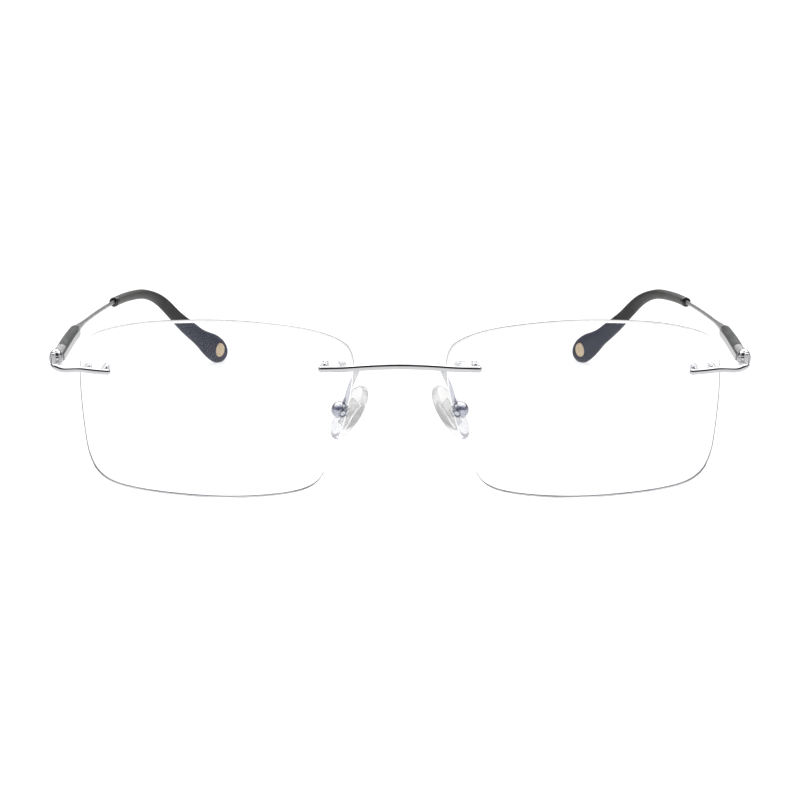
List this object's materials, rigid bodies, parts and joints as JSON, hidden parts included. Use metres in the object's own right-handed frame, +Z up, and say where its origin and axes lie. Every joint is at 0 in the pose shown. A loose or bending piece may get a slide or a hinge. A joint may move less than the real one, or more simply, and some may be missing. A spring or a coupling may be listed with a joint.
{
  "type": "rimless eyeglasses",
  "caption": "Rimless eyeglasses: clear rectangular lenses held by pins and plugs, wire bridge, rocking nose pads, folding temples with dark curved tips.",
  "frame": {"origin": "on the table under the centre of the bounding box of the open glasses", "axes": "+X to the right as seen from the front (the wearer's left), +Y backwards along the temples, +Z up; left in a node name is the -X side"},
  "size_m": [0.1424, 0.1376, 0.0366],
  "materials": {
    "lens": "polished, clear plastic lens, edges lightly frosted",
    "silver": "polished silver plating",
    "steel": "polished screw steel",
    "clear_plug": "clear moulded plastic",
    "silicone": "clear soft silicone, satin",
    "grey_sleeve": "satin dark grey",
    "black_ring": "gloss black",
    "tip": "gloss, near black with a blue cast",
    "inlay": "plain beige disc, satin"
  },
  "bodies": {
    "front": {"bridge": "silver", "left_bridge_plug": "clear_plug", "left_endpiece": "silver", "left_endpiece_plug": "clear_plug", "left_hinge_screw": "steel", "left_lens": "lens", "left_pad_arm": "silver", "left_pad_box": "silver", "left_pad_screw": "steel", "right_bridge_plug": "clear_plug", "right_endpiece": "silver", "right_endpiece_plug": "clear_plug", "right_hinge_screw": "steel", "right_lens": "lens", "right_pad_arm": "silver", "right_pad_box": "silver", "right_pad_screw": "steel"},
    "left_temple": {"left_hinge_leaf": "silver", "left_temple_collar": "silver", "left_temple_rod": "silver", "left_temple_sleeve": "grey_sleeve", "left_temple_tip": "tip", "left_tip_inlay": "inlay", "left_tip_ring": "black_ring"},
    "right_temple": {"right_hinge_leaf": "silver", "right_temple_collar": "silver", "right_temple_rod": "silver", "right_temple_sleeve": "grey_sleeve", "right_temple_tip": "tip", "right_tip_inlay": "inlay", "right_tip_ring": "black_ring"},
    "left_pad": {"left_nose_pad": "silicone", "left_pad_insert": "clear_plug"},
    "right_pad": {"right_nose_pad": "silicone", "right_pad_insert": "clear_plug"}
  },
  "joints": [
    {"name": "left_temple_fold", "type": "hinge", "parent": "front", "child": "left_temple", "pos_m": [-0.0689, -0.05741, 0.02735], "axis": [0, -0.0536, -0.9986], "range_deg": [0, 78]},
    {"name": "right_temple_fold", "type": "hinge", "parent": "front", "child": "right_temple", "pos_m": [0.0689, -0.05741, 0.02735], "axis": [0, 0.0536, 0.9986], "range_deg": [0, 68]},
    {"name": "left_pad_rock", "type": "hinge", "parent": "front", "child": "left_pad", "pos_m": [-0.01215, -0.05856, 0.01722], "axis": [0.4484, -0.8441, -0.294], "range_deg": [-10, 10]},
    {"name": "right_pad_rock", "type": "hinge", "parent": "front", "child": "right_pad", "pos_m": [0.01215, -0.05856, 0.01722], "axis": [-0.4484, -0.8441, -0.294], "range_deg": [-10, 10]}
  ]
}
